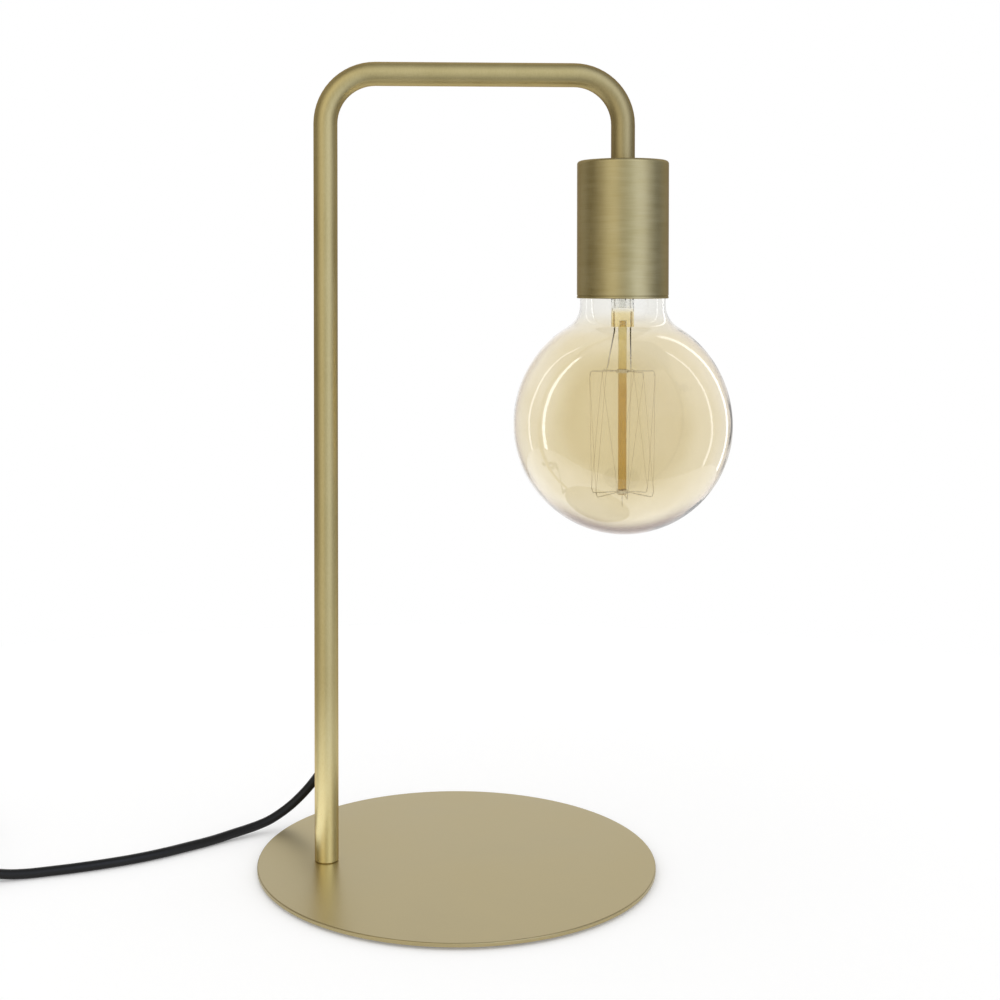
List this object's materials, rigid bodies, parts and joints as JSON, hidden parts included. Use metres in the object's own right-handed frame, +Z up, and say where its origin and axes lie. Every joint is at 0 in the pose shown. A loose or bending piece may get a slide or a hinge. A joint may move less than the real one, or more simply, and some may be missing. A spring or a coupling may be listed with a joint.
{
  "type": "desk lamp",
  "caption": "Desk lamp with a thin round base, a bent tube, a cylindrical cup and a clear amber globe bulb that points down.",
  "frame": {"origin": "centre of the round base, on the surface that the lamp stands on", "axes": "+Z up, +X from the pole towards the bulb, +Y towards the back, where the cord leaves the pole"},
  "size_m": [0.5164, 0.2695, 0.4384],
  "materials": {
    "brass_plate": "satin lacquered brass finish",
    "brass_tube": "satin lacquered brass finish, brushed lengthwise",
    "brushed_brass": "brass finish, brushed round the cup",
    "raw_brass": "plain brass",
    "zinc_steel": "zinc plated",
    "nickel": "nickel plated",
    "copper": "copper alloy strip",
    "amber_glass": "clear, tinted amber",
    "amber_rod": "clear amber rod",
    "black_glass": "black vitreous insulator",
    "filament_wire": "thin bare wire",
    "white_ceramic": "glazed ceramic",
    "black_bakelite": "moulded, fine matt",
    "black_plastic": "moulded, satin",
    "white_plastic": "moulded",
    "black_rubber": "soft, matt",
    "black_cord": "smooth round sheath",
    "brown_wire": "insulated core",
    "blue_wire": "insulated core",
    "pad_foam": "thin closed-cell pad"
  },
  "bodies": {
    "lamp": {"base_plate": "brass_plate", "base_pad": "pad_foam", "foot_screw": "zinc_steel", "foot_plug": "raw_brass", "stem_tube": "brass_tube", "strain_relief": "black_rubber", "cord_entry": "black_cord", "live_wire": "brown_wire", "neutral_wire": "blue_wire", "threaded_nipple": "zinc_steel", "lamp_cup": "brushed_brass", "toothed_washer": "zinc_steel", "lock_nut": "raw_brass", "holder_dome": "black_bakelite", "holder_skirt": "black_bakelite", "holder_core": "white_ceramic", "screw_shell": "raw_brass", "centre_contact": "copper", "terminal_blocks": "raw_brass", "terminal_screws": "zinc_steel", "contact_rivets": "raw_brass", "cord_lead": "black_cord", "cord_link": "black_cord", "cord_coil": "black_cord", "cord_tail": "black_cord", "cord_tie": "black_rubber", "switch_base": "black_plastic", "switch_cover": "black_plastic", "switch_contacts": "raw_brass", "switch_wires": "brown_wire", "switch_screws": "zinc_steel", "cord_clamps": "white_plastic", "plug_body": "black_rubber", "plug_pins": "nickel"},
    "bulb_contact": {"cap_contact": "nickel"},
    "bulb": {"bulb_glass": "amber_glass", "bulb_cap": "raw_brass", "cap_insulator": "black_glass", "glass_stem": "amber_glass", "support_rod": "amber_rod", "lead_wires": "nickel", "upper_supports": "nickel", "lower_supports": "nickel", "filament": "filament_wire"},
    "rocker": {"switch_rocker": "black_plastic", "contact_bridge": "copper"}
  },
  "joints": [
    {"name": "bulb_travel", "type": "slide", "parent": "lamp", "child": "bulb_contact", "axis": [0, 0, -1], "range_m": [0, 0.0182]},
    {"name": "bulb_turn", "type": "hinge", "parent": "bulb_contact", "child": "bulb", "pos_m": [0.0911, 0, 0.3], "axis": [0, 0, -1], "range_deg": [0, 1800]},
    {"name": "rocker_tilt", "type": "hinge", "parent": "lamp", "child": "rocker", "pos_m": [-0.299, -0.014, 0.0125], "axis": [0, 1, 0], "range_deg": [0, 14]}
  ],
  "couplings": [
    {"joint": "bulb_travel", "follows": "bulb_turn", "m_per_rad": 0.00057773}
  ]
}
